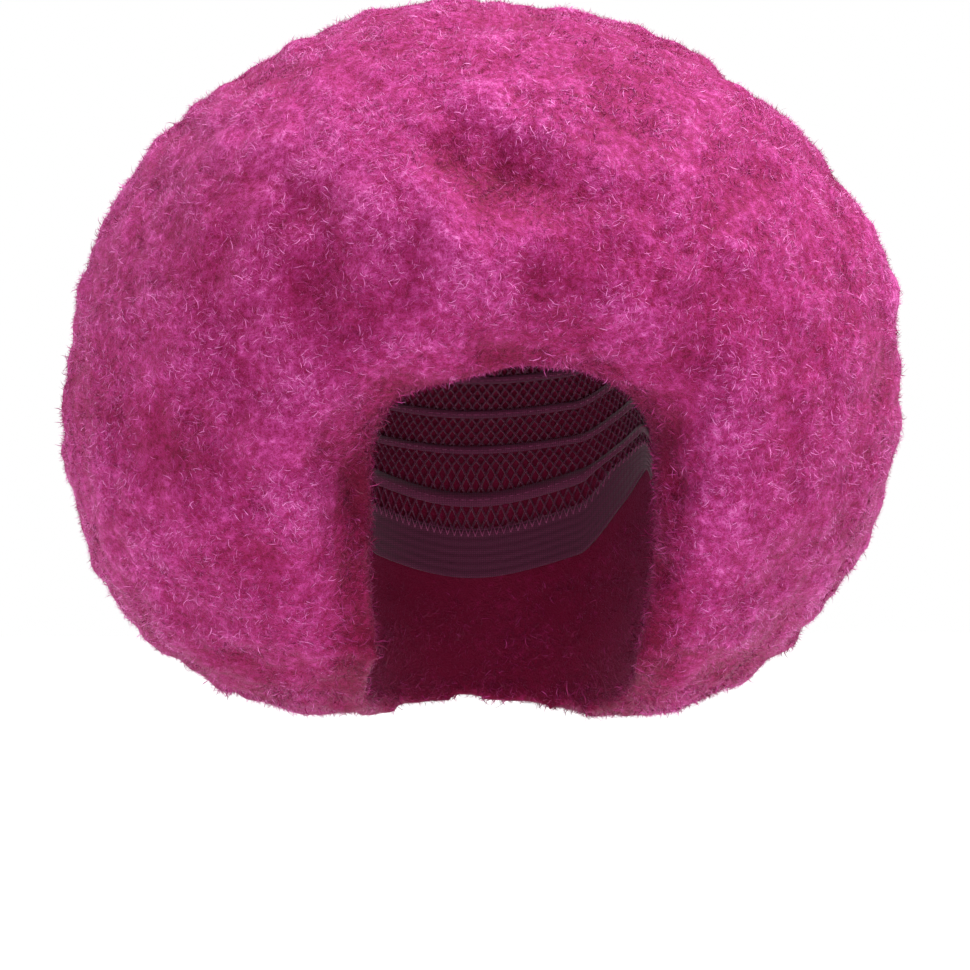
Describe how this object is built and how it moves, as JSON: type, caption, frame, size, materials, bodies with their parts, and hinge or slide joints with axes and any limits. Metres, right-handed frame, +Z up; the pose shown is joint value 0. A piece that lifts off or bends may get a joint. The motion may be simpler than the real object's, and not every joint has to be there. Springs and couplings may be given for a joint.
{
  "type": "afro wig",
  "caption": "Large round afro wig of teased curly hair on a stretch net cap with an elastic edge band, open at the face and neck.",
  "frame": {"origin": "inside of the cap at the crown, where the top of the head touches it", "axes": "+Z up along the head, the face looks along -Y, +X to the wearer's left"},
  "size_m": [0.4274, 0.3151, 0.3618],
  "materials": {
    "hair": "matte",
    "cap_net": "matte",
    "elastic_band": "matte"
  },
  "bodies": {
    "root": {"hair": "hair", "cap": "cap_net", "cap_band": "elastic_band"}
  },
  "joints": []
}
